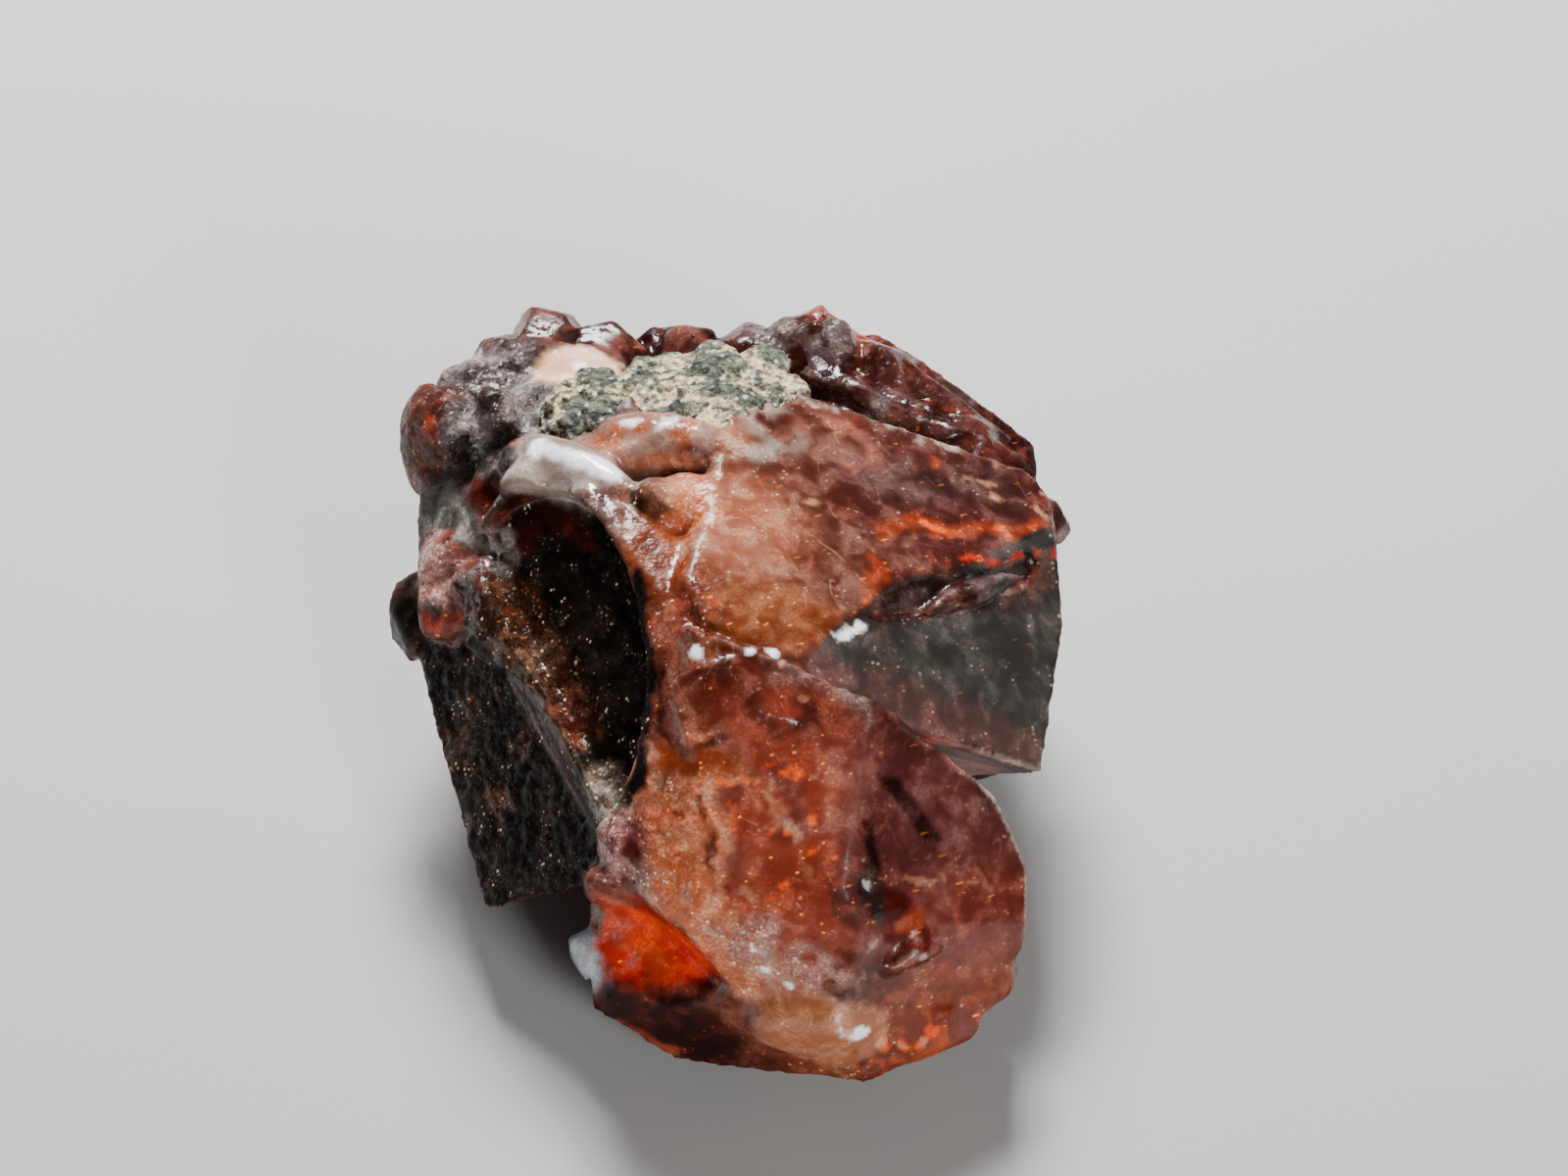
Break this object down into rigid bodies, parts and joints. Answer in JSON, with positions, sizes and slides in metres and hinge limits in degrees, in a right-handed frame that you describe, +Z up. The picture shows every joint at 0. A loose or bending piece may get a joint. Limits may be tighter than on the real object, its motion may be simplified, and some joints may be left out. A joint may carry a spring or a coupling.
{
  "type": "rough zircon crystal specimen",
  "caption": "Rough red-brown zircon: flat-faced crystals grown together, dark broken faces at one side and a crust of host rock on top.",
  "frame": {"origin": "on the plane the specimen rests on, under the middle of its outline", "axes": "+Z up, -Y to the front, where the rounded lower crystal is, and +X to the right, where the slate-grey face of the big crystal is"},
  "size_m": [0.0202, 0.024, 0.0134],
  "materials": {
    "zircon_crystal": "glassy, hazed, broken in places",
    "matrix_crust": "rough, granular"
  },
  "bodies": {
    "root": {"zircon_crystal": "zircon_crystal", "matrix_crust": "matrix_crust"}
  },
  "joints": []
}
